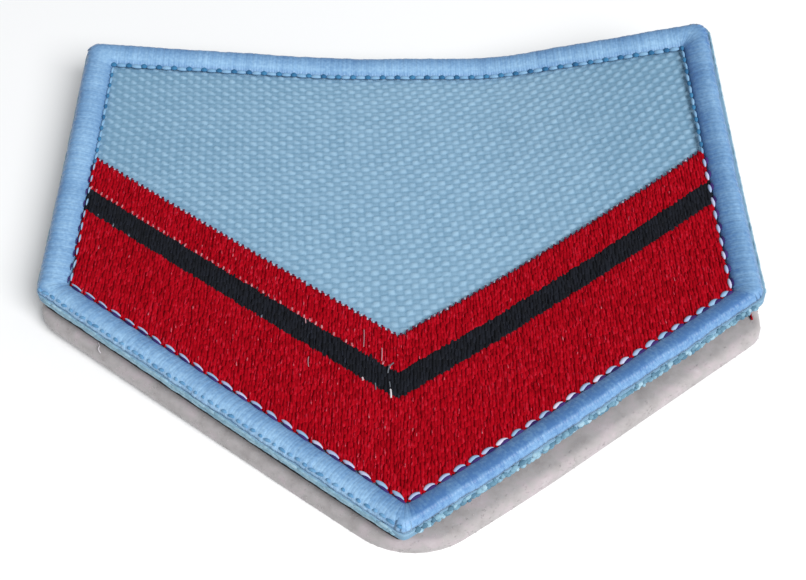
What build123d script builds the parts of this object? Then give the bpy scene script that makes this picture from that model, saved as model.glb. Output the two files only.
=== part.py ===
from build123d import *
import os
from math import atan2, ceil, copysign, cos, pi, radians, sin, tan

# Chest rank patch, lying face up on the loop half of its fastener.
# Millimetres and degrees. X runs across the patch, Y from the tip up to the top edge, Z up.
# The sizes are those of the patch laid flat; rolled() then lifts its two sides as they lie.

# The cloth's cut outline
half_width = 50.0  # middle of the patch out to a lower corner
side_length = 53.2  # lower corners up to the top edge
tip_drop = 35.6  # lower corners down to the tip
corner_radius = 2.2  # rounding of the lower corners

# The layers, from the floor up
loop_thickness = 2.0
hook_thickness = 1.0
cloth_thickness = 1.2
thread_height = 0.5  # embroidery above the cloth
border_height = 1.1  # rim above the cloth
layer_gap = 0.12  # between two layers, and between neighbouring bands

# The border and the three bands of the chevron
border_width = 4.05  # on the right side; the other sides follow from the cloth's cut and its lip
cloth_lip = 0.45  # cut edge of the cloth that shows outside the border
edge_trim = 1.15  # how much closer the lower right edge was cut
roundness_share = 0.71  # 1 is a half-round rim, less is a flatter one
inner_corner_radius = 0.6
lower_red_width = 12.2
black_width = 3.4
upper_red_width = 4.7

# The fastener's own outlines, against the cloth's
hook_setback = 0.9
loop_reach = 1.8
loop_corner_radius = 9.0

# The roll of the two sides
wing_turn = 12.4  # tilt of the right side at the top edge
low_turn_share = 0.35  # tilt from the lower corners down, against that of the top edge
turn_growth = 1.8  # how late the tilt grows towards the top edge

# Facets
column_width = 4.2
arc_steps = 5
sheet_rows = 5
rim_steps = 8

# Corners anticlockwise: across in half widths, up in side lengths, down in tip drops,
# then the rounding of the cloth and of the loop piece as shares of their radii
CORNERS = (
    # corner, across, up, down, cloth rounding, loop rounding
    ("lower_left", -1.000, 0.022, 0.0, 1.00, 0.55),
    ("tip", 0.023, 0.000, 1.0, 0.45, 1.25),
    ("lower_right", 1.000, -0.022, 0.0, 1.00, 0.42),
    ("top_right", 1.006, 1.000, 0.0, 0.80, 0.30),
    ("top_left", -1.025, 1.000, 0.0, 0.70, 0.30),
)

# Edges, each from the corner of the same row to the next
EDGES = (
    # edge, trim in edge trims, lip in cloth lips, setback of the hook tape in hook setbacks,
    # reach of the loop piece in loop reaches
    ("lower_left_edge", 0.70, 0.55, 0.30, 0.24),
    ("lower_right_edge", 1.00, 0.70, 1.00, 0.80),
    ("right_side", 0.00, 1.00, 1.00, -0.40),
    ("top_edge", 0.00, 0.22, 0.80, -0.40),
    ("left_side", 0.00, 0.22, 0.50, -0.06),
)

# Sides that roll up: where the roll starts and how long it is in half widths, its share of the turn
WINGS = {
    # direction: start, length, turn
    -1: (0.08, 0.24, 0.39),
    1: (0.20, 0.20, 1.00),
}

# Heights of the layers
hook_bottom = loop_thickness + layer_gap
cloth_bottom = hook_bottom + hook_thickness + layer_gap
face_height = cloth_bottom + cloth_thickness
thread_bottom = face_height + layer_gap
border_reach = cloth_lip + border_width
band_reach = border_reach + layer_gap


def edge_direction(corners, number):
    """Unit vector along an edge, anticlockwise."""
    return (corners[(number + 1) % len(corners)] - corners[number]).normalized()


def outward(direction):
    """Unit vector that points out of the outline, square to an edge's direction."""
    return Vector(direction.Y, -direction.X)


def crossing(point, direction, other_point, other_direction):
    """Where two lines meet."""
    across = outward(other_direction)
    travel = (other_point - point).dot(across) / direction.dot(across)
    return point + direction * travel


def moved_corners(reaches):
    """Corners of the outline with each edge moved outwards by its own reach."""
    corners = [
        Vector(across * half_width, up * side_length - down * tip_drop)
        for _, across, up, down, _, _ in CORNERS
    ]
    moved = []
    for number in range(len(corners)):
        before = edge_direction(corners, number - 1)
        after = edge_direction(corners, number)
        start = corners[number] + outward(before) * reaches[number - 1]
        other = corners[number] + outward(after) * reaches[number]
        moved.append(crossing(start, before, other, after))
    return moved


def inside_cut(setbacks):
    """Reaches of a line inside the cloth's cut edge, by a setback for each edge."""
    return [-(row[1] * edge_trim + setback) for row, setback in zip(EDGES, setbacks)]


def corner_arcs(corners, radii):
    """For each corner, the points of the arc that rounds it."""
    arcs = []
    for number, corner in enumerate(corners):
        before = edge_direction(corners, number - 1)
        after = edge_direction(corners, number)
        turn = radians(before.get_angle(after))
        radius = radii[number]
        centre = corner - before * (radius * tan(turn / 2)) - outward(before) * radius
        start = atan2(outward(before).Y, outward(before).X)
        angles = [start + turn * step / arc_steps for step in range(arc_steps + 1)]
        arcs.append([centre + Vector(cos(angle), sin(angle)) * radius for angle in angles])
    return arcs


def boundary_lines(reaches, radii):
    """Lower and upper boundary of an outline, both from left to right."""
    lower_left, tip, lower_right, top_right, top_left = corner_arcs(moved_corners(reaches), radii)
    return lower_left + tip + lower_right, top_left[::-1] + top_right[::-1]


def height_on(line, x):
    """Height of a left-to-right line at x."""
    for start, end in zip(line, line[1:]):
        if x <= end.X:
            return start.Y + (end.Y - start.Y) * (x - start.X) / (end.X - start.X)
    return line[-1].Y


def even_columns(lower, upper):
    """The two lines with points added, so that both have one at each column."""
    count = ceil((lower[-1].X - lower[0].X) / column_width)
    shares = [number / count for number in range(count + 1)]
    for line in (lower, upper):
        width = line[-1].X - line[0].X
        shares += [(point.X - line[0].X) / width for point in line]
    kept = [0.0]
    for share in sorted(shares):
        if (share - kept[-1]) * 2 * half_width > layer_gap:
            kept.append(share)
    kept[-1] = 1.0
    lines = []
    for line in (lower, upper):
        across = [line[0].X + (line[-1].X - line[0].X) * share for share in kept]
        lines.append([Vector(x, height_on(line, x)) for x in across])
    return lines


def rolled(flat_point, height):
    """Place in space of a point of the flat patch, at a height above the floor."""
    direction = 1 if flat_point.X > 0 else -1
    start_share, length_share, turn_share = WINGS[direction]
    beyond = abs(flat_point.X) - start_share * half_width
    if beyond <= 0:
        return Vector(flat_point.X, flat_point.Y, height)
    growth = max(flat_point.Y / side_length, 0) ** turn_growth
    full_turn = radians(wing_turn) * turn_share * (low_turn_share + (1 - low_turn_share) * growth)
    length = length_share * half_width
    centre_height = length / full_turn + face_height
    turn = full_turn * min(beyond / length, 1)
    straight = max(beyond - length, 0)
    across = start_share * half_width + (centre_height - height) * sin(turn) + straight * cos(turn)
    up = centre_height - (centre_height - height) * cos(turn) + straight * sin(turn)
    return Vector(direction * across, flat_point.Y, up)


def closed_solid(quads):
    """Solid inside a closed set of four-cornered patches, each made of two triangles."""
    faces = []
    for a, b, c, d in quads:
        faces.append(Face(Wire.make_polygon([a, b, c])))
        faces.append(Face(Wire.make_polygon([a, c, d])))
    return Solid(Shell(faces)).clean()


def sheet(lower, upper, bottom, rows):
    """Layer between two lines; each row gives its share of the way up and the layer's top there."""
    lower, upper = even_columns(lower, upper)
    under = []
    over = []
    for low, high in zip(lower, upper):
        points = [low + (high - low) * share for share, _ in rows]
        under.append([rolled(point, bottom) for point in points])
        over.append([rolled(point, top) for point, (_, top) in zip(points, rows)])
    quads = []
    for left, right in zip(range(len(under) - 1), range(1, len(under))):
        for row in range(len(rows) - 1):
            up = row + 1
            quads.append((over[left][row], over[right][row], over[right][up], over[left][up]))
            quads.append((under[left][row], under[left][up], under[right][up], under[right][row]))
        quads.append((under[left][0], under[right][0], over[right][0], over[left][0]))
        quads.append((over[left][-1], over[right][-1], under[right][-1], under[left][-1]))
    for row in range(len(rows) - 1):
        up = row + 1
        quads.append((under[0][row], over[0][row], over[0][up], under[0][up]))
        quads.append((under[-1][up], over[-1][up], over[-1][row], under[-1][row]))
    return closed_solid(quads)


def plain_rows(top):
    """Rows of a flat layer."""
    return [(row / sheet_rows, top) for row in range(sheet_rows + 1)]


def thread_rows():
    """Rows of an embroidered band, lower along its two edges, where the threads turn down."""
    edge = 0.12
    top = thread_bottom + thread_height
    edge_top = thread_bottom + thread_height / 2
    return [(0, edge_top), (edge, top), (0.5, top), (1 - edge, top), (1, edge_top)]


def chevron_line(apex):
    """Left to right line of a chevron's edge, from side to side of the border, through its apex."""
    corners = moved_corners([-band_reach] * len(EDGES))
    ends = []
    for side, direction in ((4, -1), (2, 1)):
        arm = Vector(direction * half_width, tip_drop).normalized()
        ends.append(crossing(Vector(0, apex), arm, corners[side], edge_direction(corners, side)))
    return [ends[0], Vector(0, apex), ends[1]]


def ring_stations(reaches, radii):
    """Closed line round the patch with a point at each station, each edge split evenly."""
    arcs = corner_arcs(moved_corners(reaches), radii)
    lengths = [side_length, side_length, side_length, 2 * half_width, side_length]
    stations = []
    for number, arc in enumerate(arcs):
        after = arcs[(number + 1) % len(arcs)][0]
        count = ceil(lengths[number] / column_width)
        stations += arc
        stations += [arc[-1] + (after - arc[-1]) * (step / count) for step in range(1, count)]
    return stations


def make_border():
    """Rim along the edge of the cloth, with the section of a flattened half round."""
    cloth_radii = [share * corner_radius for _, _, _, _, share, _ in CORNERS]
    outer = ring_stations(inside_cut([row[2] * cloth_lip for row in EDGES]), cloth_radii)
    inner = ring_stations([-border_reach] * len(EDGES), [inner_corner_radius] * len(CORNERS))
    section = []
    for step in range(rim_steps + 1):
        angle = pi * step / rim_steps
        reach = copysign(abs(cos(angle)) ** roundness_share, cos(angle))
        rise = abs(sin(angle)) ** roundness_share
        section.append(((1 - reach) / 2, thread_bottom + border_height * rise))
    loops = []
    for foot, heel in zip(outer, inner):
        loops.append([rolled(foot + (heel - foot) * share, height) for share, height in section])
    quads = []
    for here, there in zip(loops, loops[1:] + loops[:1]):
        for step in range(rim_steps):
            quads.append((here[step], there[step], there[step + 1], here[step + 1]))
        quads.append((here[0], here[-1], there[-1], there[0]))
    return closed_solid(quads)


def make_bands():
    """The three embroidered bands, from the border's lower inside corner up."""
    tip_turn = atan2(tip_drop, half_width)
    level = band_reach / cos(tip_turn) - tip_drop
    edges = []
    for width in (lower_red_width, black_width, upper_red_width):
        edges.append((level, level + (width - layer_gap) / cos(tip_turn)))
        level += width / cos(tip_turn)
    inner_radii = [inner_corner_radius] * len(CORNERS)
    border_line, _ = boundary_lines([-band_reach] * len(EDGES), inner_radii)
    lower_red, black, upper_red = edges
    rows = thread_rows()
    return {
        "lower_red_band": sheet(border_line, chevron_line(lower_red[1]), thread_bottom, rows),
        "black_stripe": sheet(chevron_line(black[0]), chevron_line(black[1]), thread_bottom, rows),
        "upper_red_band": sheet(
            chevron_line(upper_red[0]), chevron_line(upper_red[1]), thread_bottom, rows
        ),
    }


def make_ground_cloth():
    """The woven cloth, out to its cut edge."""
    radii = [share * corner_radius for _, _, _, _, share, _ in CORNERS]
    lower, upper = boundary_lines(inside_cut([0] * len(EDGES)), radii)
    return sheet(lower, upper, cloth_bottom, plain_rows(face_height))


def make_hook_tape():
    """The hook half of the fastener, sewn on behind the cloth and a little smaller."""
    radii = [share * corner_radius for _, _, _, _, share, _ in CORNERS]
    lower, upper = boundary_lines(inside_cut([row[3] * hook_setback for row in EDGES]), radii)
    return sheet(lower, upper, hook_bottom, plain_rows(hook_bottom + hook_thickness))


def make_loop_piece():
    """The loop half of the fastener, cut by hand with rounder corners and lying a little off."""
    radii = [share * loop_corner_radius for _, _, _, _, _, share in CORNERS]
    lower, upper = boundary_lines([row[4] * loop_reach for row in EDGES], radii)
    return sheet(lower, upper, 0, plain_rows(loop_thickness))


pieces = make_bands()
pieces["border"] = make_border()
pieces["ground_cloth"] = make_ground_cloth()
pieces["hook_tape"] = make_hook_tape()
pieces["loop_piece"] = make_loop_piece()

# The origin is the middle of the whole, on the floor
whole = Compound(list(pieces.values())).bounding_box()
to_origin = Location((-whole.center().X, -whole.center().Y, -whole.min.Z))
os.makedirs("parts", exist_ok=True)
for name, piece in pieces.items():
    export_step(piece.moved(to_origin), f"parts/{name}.step")
print("size", whole.size)
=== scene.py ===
# %% [markdown]
# A chest rank patch, in layers, as it was sewn.
#
# From the floor up it is a fuzzy loop piece, a dark hook tape, a coarse woven ground cloth, three
# embroidered bands that make a chevron, and a thick satin border. All of it is cloth and thread, so
# every piece is modelled flat, as on the machine, and then rolled up at its two sides by one function.

# %% Load the fixed frame
from math import atan2, ceil, cos, pi, radians, sin, tan

import bmesh
import bpy
import numpy as np
from mathutils import Matrix, Vector


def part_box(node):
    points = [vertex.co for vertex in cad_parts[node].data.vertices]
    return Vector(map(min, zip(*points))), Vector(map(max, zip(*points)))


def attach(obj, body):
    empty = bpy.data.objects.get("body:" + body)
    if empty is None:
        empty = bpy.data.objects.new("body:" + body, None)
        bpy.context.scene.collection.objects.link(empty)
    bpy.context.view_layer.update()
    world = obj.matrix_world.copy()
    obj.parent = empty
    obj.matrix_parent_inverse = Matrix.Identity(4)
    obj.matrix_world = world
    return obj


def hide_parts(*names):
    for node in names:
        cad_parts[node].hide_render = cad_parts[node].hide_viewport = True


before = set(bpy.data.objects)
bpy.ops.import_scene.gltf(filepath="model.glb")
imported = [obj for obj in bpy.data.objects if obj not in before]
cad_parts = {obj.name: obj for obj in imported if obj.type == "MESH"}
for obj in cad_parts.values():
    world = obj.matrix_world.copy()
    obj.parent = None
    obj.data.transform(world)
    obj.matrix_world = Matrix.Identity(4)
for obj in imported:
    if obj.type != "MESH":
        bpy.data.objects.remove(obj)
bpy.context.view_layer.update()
MM = 0.001

# %% [markdown]
# The patch's sizes come first, in metres, because every layer is cut from the same five-cornered
# outline. The heights are those of the layers, from the floor up to the top of the border. The patch
# was cut by hand, so two tables give each corner and each edge its own share of the common sizes.

# %% Sizes of the flat patch and its layers
half_width = 50.0 * MM
side_length = 53.2 * MM
tip_drop = 35.6 * MM
corner_radius = 2.2 * MM
layer_gap = 0.12 * MM
loop_thickness = 2.0 * MM
hook_thickness = 1.0 * MM
cloth_thickness = 1.2 * MM
thread_height = 0.5 * MM
border_height = 1.1 * MM

border_width = 4.05 * MM
cloth_lip = 0.45 * MM
edge_trim = 1.15 * MM
inner_corner_radius = 0.6 * MM
lower_red_width = 12.2 * MM
black_width = 3.4 * MM
upper_red_width = 4.7 * MM
hook_setback = 0.9 * MM
loop_reach = 1.8 * MM
loop_corner_radius = 9.0 * MM

hook_bottom = loop_thickness + layer_gap
cloth_bottom = hook_bottom + hook_thickness + layer_gap
face_height = cloth_bottom + cloth_thickness
thread_bottom = face_height + layer_gap
thread_top = thread_bottom + thread_height
border_reach = cloth_lip + border_width
band_reach = border_reach + layer_gap
print(f"face of the cloth {face_height / MM:.2f} mm above the floor")

# %% Corners and edges
CORNERS = (
    # across in half widths, up in side lengths, down in tip drops, rounding of cloth, of loop piece
    (-1.000, 0.022, 0.0, 1.00, 0.55),
    (0.023, 0.000, 1.0, 0.45, 1.25),
    (1.000, -0.022, 0.0, 1.00, 0.42),
    (1.006, 1.000, 0.0, 0.80, 0.30),
    (-1.025, 1.000, 0.0, 0.70, 0.30),
)
EDGES = (
    # trim in edge trims, lip in cloth lips, setback of the hook tape, reach of the loop piece
    (0.70, 0.55, 0.30, 0.24),
    (1.00, 0.70, 1.00, 0.80),
    (0.00, 1.00, 1.00, -0.40),
    (0.00, 0.22, 0.80, -0.40),
    (0.00, 0.22, 0.50, -0.06),
)
LOWER_LEFT, LOWER_RIGHT, RIGHT, TOP, LEFT = range(5)
print(len(CORNERS), "corners, anticlockwise from the lower left, each with the edge that starts there")

# %% [markdown]
# An outline is five corners joined by straight cuts. Moving each edge in or out by its own reach
# gives the outline of every other layer, and a short arc rounds each corner. Scaling one outline
# would be quicker, but then the border would be wider at the tip than along the top.

# %% Moving the edges of the outline
def edge_direction(corners, number):
    return (corners[(number + 1) % 5] - corners[number % 5]).normalized()


def outward(direction):
    return Vector((direction.y, -direction.x))


def crossing(point, direction, other_point, other_direction):
    across = outward(other_direction)
    return point + direction * ((other_point - point).dot(across) / direction.dot(across))


def moved_corners(reaches):
    """The five corners, anticlockwise from the lower left, with each edge moved outwards."""
    corners = []
    for across, up, down, _, _ in CORNERS:
        corners.append(Vector((across * half_width, up * side_length - down * tip_drop)))
    moved = []
    for number in range(5):
        before = edge_direction(corners, number - 1)
        after = edge_direction(corners, number)
        start = corners[number] + outward(before) * reaches[number - 1]
        other = corners[number] + outward(after) * reaches[number]
        moved.append(crossing(start, before, other, after))
    return moved


def rounded(corners, radii, steps=5):
    """Closed list of points: each corner becomes an arc."""
    outline = []
    for number, corner in enumerate(corners):
        before = edge_direction(corners, number - 1)
        after = edge_direction(corners, number)
        turn = before.angle(after)
        centre = corner - before * (radii[number] * tan(turn / 2)) - outward(before) * radii[number]
        start = atan2(outward(before).y, outward(before).x)
        for step in range(steps + 1):
            angle = start + turn * step / steps
            outline.append(centre + Vector((cos(angle), sin(angle))) * radii[number])
    return outline


def even_reach(reach):
    return moved_corners([reach] * 5)


# %% Outlines of the layers
def inside_cut(setbacks):
    """Reaches of a line inside the cloth's cut edge, by a setback for each edge."""
    return [-(row[0] * edge_trim + setback) for row, setback in zip(EDGES, setbacks)]


def area_of(outline):
    doubled = sum(a.cross(b) for a, b in zip(outline, outline[1:] + outline[:1]))
    return doubled / 2


cut_reaches = inside_cut([0] * 5)
lip_reaches = inside_cut([row[1] * cloth_lip for row in EDGES])
hook_reaches = inside_cut([row[2] * hook_setback for row in EDGES])
loop_reaches = [row[3] * loop_reach for row in EDGES]
cloth_radii = [share * corner_radius for _, _, _, share, _ in CORNERS]
loop_radii = [share * loop_corner_radius for _, _, _, _, share in CORNERS]
cloth_outline = rounded(moved_corners(cut_reaches), cloth_radii)
print(f"flat area of the cloth {area_of(cloth_outline) / MM**2:.0f} square mm")

# %% [markdown]
# The patch has been worn, so its sides roll up: the right one most, and more at the top edge than
# lower down. Each side is an arc and then a straight run. Bend modifiers or a cloth simulation could
# roll each piece, but the layers would part or cut into each other. Here one function turns a flat
# place into the place in space, and every piece goes through it, so that all layers curl together.

# %% The roll of the two sides
wing_turn = radians(12.4)
low_turn_share = 0.35
turn_growth = 1.8
WINGS = {
    # direction: start of the roll and its length in half widths, share of the turn
    -1: (0.08, 0.24, 0.39),
    1: (0.20, 0.20, 1.00),
}


def turn_share(flat):
    """How much of the full turn a flat place gets, by its height on the patch."""
    growth = np.clip(flat[:, 1] / side_length, 0, None) ** turn_growth
    return low_turn_share + (1 - low_turn_share) * growth


def rolled(places):
    """Places in space of flat ones, whose z is the height above the floor."""
    flat = np.asarray(places, float).reshape(-1, 3)
    placed = flat.copy()
    turn_at = wing_turn * turn_share(flat)
    for direction, (start_share, length_share, side_share) in WINGS.items():
        beyond = flat[:, 0] * direction - start_share * half_width
        there = beyond > 0
        length = length_share * half_width
        full_turn = turn_at[there] * side_share
        centre_height = length / full_turn + face_height
        turn = full_turn * np.minimum(beyond[there] / length, 1)
        straight = np.maximum(beyond[there] - length, 0)
        arm = centre_height - flat[there, 2]
        across = start_share * half_width + arm * np.sin(turn) + straight * np.cos(turn)
        placed[there, 0] = direction * across
        placed[there, 2] = centre_height - arm * np.cos(turn) + straight * np.sin(turn)
    return placed


low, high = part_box("ground_cloth")
edge_places = [(*point, height) for point in cloth_outline for height in (cloth_bottom, face_height)]
edge_box = rolled(edge_places)
to_frame = (np.array(low) + np.array(high) - edge_box.min(0) - edge_box.max(0)) / 2
print("from the flat patch's origin to the frame's, in mm:", np.round(to_frame / MM, 3))

# %% [markdown]
# A few small helpers do what a hand does in the viewport: deselect all, go in and out of edit mode,
# read or move all the points of a mesh, and lay a finished flat piece down in its rolled place.

# %% Helpers for pieces
def fresh():
    if bpy.context.object and bpy.context.object.mode != "OBJECT":
        bpy.ops.object.mode_set(mode="OBJECT")
    bpy.ops.object.select_all(action="DESELECT")


def picked(piece):
    """Makes a piece the only one selected, and the active one."""
    fresh()
    bpy.context.view_layer.objects.active = piece
    piece.select_set(True)


def named(name):
    """The primitive that was just added, with its place moved into its mesh."""
    piece = bpy.context.object
    piece.name = piece.data.name = name
    bpy.ops.object.transform_apply(location=True, rotation=True, scale=True)
    return piece


# %% Points, values and maps of a piece
def points_of(piece):
    points = np.empty(len(piece.data.vertices) * 3)
    piece.data.vertices.foreach_get("co", points)
    return points.reshape(-1, 3)


def set_points(piece, points):
    piece.data.vertices.foreach_set("co", np.asarray(points, np.float32).ravel())
    piece.data.update()


def attribute(piece, name, values):
    kept = piece.data.attributes.new(name, "FLOAT", "POINT")
    kept.data.foreach_set("value", np.asarray(values, np.float32))


def flat_map(piece):
    """A UV map of the flat places in mm, so that a pattern follows the cloth when it rolls."""
    corners = np.empty(len(piece.data.loops), np.int32)
    piece.data.loops.foreach_get("vertex_index", corners)
    layer = piece.data.uv_layers.new(name="flat")
    layer.data.foreach_set("uv", (points_of(piece)[corners, :2] / MM).astype(np.float32).ravel())


def lay_down(piece):
    set_points(piece, rolled(points_of(piece)) + to_frame)


def told(piece):
    """Prints a piece's triangles, and how many of its edges don't lie between just two faces."""
    mesh = bmesh.new()
    mesh.from_mesh(piece.data)
    loose = sum(not edge.is_manifold for edge in mesh.edges)
    mesh.free()
    count = sum(len(face.vertices) - 2 for face in piece.data.polygons)
    print(f"{piece.name}: {count} triangles, {loose} open edges")


# %% [markdown]
# Cloth is cut with scissors along straight lines. Here a fine flat grid is the cloth off the roll,
# and bisect is the scissors: it cuts along each edge of an outline and clears what lies outside. A
# boolean could cut it too, but bisect leaves a clean open edge, from which the rim is then extruded.

# %% Cutting a grid to an outline
def grid(name, middle, size, counts, turn=0.0):
    fresh()
    bpy.ops.mesh.primitive_grid_add(
        x_subdivisions=counts[0], y_subdivisions=counts[1], size=1,
        location=(*middle, face_height), rotation=(0, 0, turn))
    bpy.context.object.scale = (*size, 1)
    return named(name)


def cut_out(piece, outline):
    bpy.ops.object.mode_set(mode="EDIT")
    for start, end in zip(outline, outline[1:] + outline[:1]):
        bpy.ops.mesh.select_all(action="SELECT")
        bpy.ops.mesh.bisect(
            plane_co=(*start, face_height), plane_no=(*outward(end - start), 0),
            clear_outer=True, threshold=0.0005 * MM)
    bpy.ops.mesh.select_all(action="SELECT")
    bpy.ops.mesh.remove_doubles(threshold=0.02 * MM)
    bpy.ops.object.mode_set(mode="OBJECT")


# %% [markdown]
# The three bands are parallel chevrons, stacked from the tip upwards. The field is what is left of
# the cloth above them. It runs a little way under the border and the topmost band, as real cloth does.

# %% The chevron and the field's outline
chevron_slope = atan2(tip_drop, half_width)
apexes = [band_reach / cos(chevron_slope) - tip_drop]
for band_width in (lower_red_width, black_width, upper_red_width):
    apexes.append(apexes[-1] + band_width / cos(chevron_slope))


def chevron(apex, reach):
    """Left end, apex and right end of a line of the chevron, out to the two sides."""
    sides = even_reach(-reach)
    ends = []
    for side, direction in ((LEFT, -1), (RIGHT, 1)):
        arm = Vector((direction * half_width, tip_drop)).normalized()
        ends.append(crossing(Vector((0, apex)), arm, sides[side], edge_direction(sides, side)))
    return [ends[0], Vector((0, apex)), ends[1]]


tuck = 0.5 * MM
field_reach = border_reach - tuck
tops = even_reach(-field_reach)
field_outline = chevron(apexes[3] - 2 * tuck, field_reach) + [tops[TOP], tops[LEFT]]
print(f"field {area_of(field_outline) / MM**2:.0f} square mm, apex at {apexes[3] / MM:.1f} mm")

# %% [markdown]
# The ground cloth is a coarse plain weave: thick yarns pass over and under each other, so that the
# face is a board of small humps, wider than they are tall. A bump texture would look flat from the
# side, so the field gets real humps, worked out for each point from its place between the yarns. The
# floats lean with the pull of the cloth, and no yarn is quite straight or as full as the next. The
# yarns are about a millimetre apart, as on the real cloth, which is coarse enough to show.

# %% The weave
warp_pitch = 1.12 * MM
weft_pitch = 0.95 * MM
weave_turn = radians(5.0)
weft_rise = 0.175 * MM
warp_rise = 0.08 * MM
# Half the width of a float and of a warp, in yarns, and how far single filaments stand up.
float_half = 0.58
warp_half = 0.7
hair = 0.012 * MM
WARP_WAVES = ((0.10, 0.37, 1.3), (0.06, 1.9, 0.0))
WEFT_WAVES = ((0.10, 0.31, 0.0), (0.07, 1.7, 0.6))
LEAN_PLACES = (-0.75, -0.25, 0.1, 0.8)
LEANS = (-1.05, -0.45, 0.05, 0.45)
charted = 200
chart = np.random.default_rng(5).uniform((0.86, -1, -1), (1.06, 1, 1), (charted, charted, 3))
fullness, roughness, drift = chart.transpose(2, 0, 1)


def waved(places, others, waves):
    """Yarn places moved by slow waves along the other yarns; a wave is its size, rate and start."""
    for size, rate, start in waves:
        places = places + size * np.sin(others * rate + start)
    return places


def yarn_places(points):
    """Where points lie on the cloth, counted in warp and weft yarns."""
    x, y = points[:, 0], points[:, 1]
    across = (x * cos(weave_turn) + y * sin(weave_turn)) / warp_pitch
    up = (y * cos(weave_turn) - x * sin(weave_turn)) / weft_pitch
    across = waved(across, up, WARP_WAVES)
    return across, waved(up, across, WEFT_WAVES)


def weave_height(points):
    """Height of the woven face: weft floats that lean with the pull of the cloth, low warps between."""
    across, up = yarn_places(points)
    column, row = np.floor(across), np.floor(up)
    a, b = across - column - 0.5, up - row - 0.5
    cell = (column.astype(int) % charted, row.astype(int) % charted)
    lean = np.interp(points[:, 0] / half_width, LEAN_PLACES, LEANS)
    b_float = b - lean * a + drift[cell] * 0.06
    oval = np.sqrt(np.clip(1 - (b_float / float_half) ** 2, 0, 1))
    weft = weft_rise * fullness[cell] * oval * np.cos(pi * a) ** 0.3
    warp = warp_rise * np.cos(pi * b) ** 0.5 * (1 - (a / warp_half) ** 2)
    return np.where((column + row) % 2 == 0, weft, warp) + hair * roughness[cell]


# %% Weaving and cutting the field
quads_per_yarn = (4, 5)
roll_width = 2.1 * half_width
roll_length = side_length - field_outline[1].y + 8 * MM
field_middle = Vector((0, (field_outline[1].y + field_outline[3].y) / 2))
columns = ceil(roll_width / warp_pitch)
rows = ceil(roll_length / weft_pitch)
cloth = grid(
    "woven_ground_cloth", field_middle, (columns * warp_pitch, rows * weft_pitch),
    (columns * quads_per_yarn[0], rows * quads_per_yarn[1]), weave_turn)
cut_out(cloth, field_outline)
woven = points_of(cloth)
relief = weave_height(woven)
woven_bottom = face_height - weft_rise / 2
woven[:, 2] = woven_bottom + relief
set_points(cloth, woven)
print(f"{columns} warp and {rows} weft yarns, relief {np.ptp(relief) / MM:.2f} mm")

# %% [markdown]
# The cloth's colour carries painted light and shade: a painted highlight on the yarns' crowns, a painted
# shade in the gaps between them, and a painted shade that makes the rolled sides deeper than the flat
# middle. Both are kept with each point of the cloth as one number, for its material to read.

# %% Painted light and shade of the cloth
# Painted shade of the rolled sides: how much darker the cloth is painted, at places across the patch in
# half widths.
SHADE_PLACES = (-0.95, -0.72, -0.10, 0.50, 0.66, 0.90)
SHADES = (0.36, 0.19, 0.03, 0.03, 0.30, 0.36)


def painted_cloth_light(points):
    """Painted light of the cloth: 0 in the gaps between the yarns, 1 on top of a weft float, and less
    where the sides roll up, as painted shade.
    """
    shade = np.interp(points[:, 0] / half_width, SHADE_PLACES, SHADES) * turn_share(points)
    return (points[:, 2] - woven_bottom) / weft_rise - shade


print(f"deepest shade {max(SHADES)}, at the rolled sides")

# %% [markdown]
# The cloth needs a rim, a cut edge and a back. The field's edge is extruded again and again: out to
# the cut edge, down by the cloth's thickness, and in to the middle of the back, where it is merged.
# Solidify would give the back all the weave's humps, which nobody sees, at twice the triangles.

# %% Out to the cut edge and round to the back
def out_from(centre, points, outline):
    """Where the rays from a centre through points meet a convex outline."""
    away = points - np.array(centre)
    away /= np.linalg.norm(away, axis=1)[:, None]
    reach = np.full(len(points), np.inf)
    for start, end in zip(outline, outline[1:] + outline[:1]):
        normal = np.array(outward(end - start).normalized())
        facing = away @ normal
        distance = np.array(start - Vector(centre)) @ normal
        crossed = distance / np.maximum(facing, 1e-9)
        reach = np.where(facing > 1e-9, np.minimum(reach, crossed), reach)
    return np.array(centre) + away * reach[:, None]


def extrude_rim(piece, place):
    """Extrudes the selected open edge and moves its points by place(points)."""
    bpy.ops.mesh.extrude_edges_move()
    mesh = bmesh.from_edit_mesh(piece.data)
    moving = [vertex for vertex in mesh.verts if vertex.select]
    for vertex, point in zip(moving, place(np.array([vertex.co for vertex in moving]))):
        vertex.co = point
    bmesh.update_edit_mesh(piece.data)


# %% Places for the rim and the back
def toward_outline(outline, share, height):
    def place(points):
        flat = points[:, :2]
        target = out_from(field_middle, flat, outline)
        return np.column_stack([flat + (target - flat) * share, np.full(len(flat), height)])
    return place


def toward_middle(share, height):
    def place(points):
        flat = np.array(field_middle) + (points[:, :2] - np.array(field_middle)) * share
        return np.column_stack([flat, np.full(len(flat), height)])
    return place


def backed(piece, rim, bottom, back_steps=14):
    """Extrudes the open edge of a grid through the rim's places, then in under it to the middle."""
    picked(piece)
    bpy.ops.object.mode_set(mode="EDIT")
    bpy.ops.mesh.select_all(action="SELECT")
    bpy.ops.mesh.region_to_loop()
    for place in rim:
        extrude_rim(piece, place)
    for left in range(back_steps, 0, -1):
        extrude_rim(piece, toward_middle((left - 0.9) / (left + 0.1), bottom))
    bpy.ops.mesh.merge(type="CENTER")
    bpy.ops.mesh.select_all(action="SELECT")
    bpy.ops.mesh.normals_make_consistent(inside=False)
    bpy.ops.object.mode_set(mode="OBJECT")
    told(piece)


# %% The cloth's rim
rim_steps = 6
wall_heights = (face_height - cloth_thickness / 2, cloth_bottom)
rim = [toward_outline(cloth_outline, 1 / left, face_height) for left in range(rim_steps, 0, -1)]
rim += [toward_outline(cloth_outline, 1, height) for height in wall_heights]
backed(cloth, rim, cloth_bottom)

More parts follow.
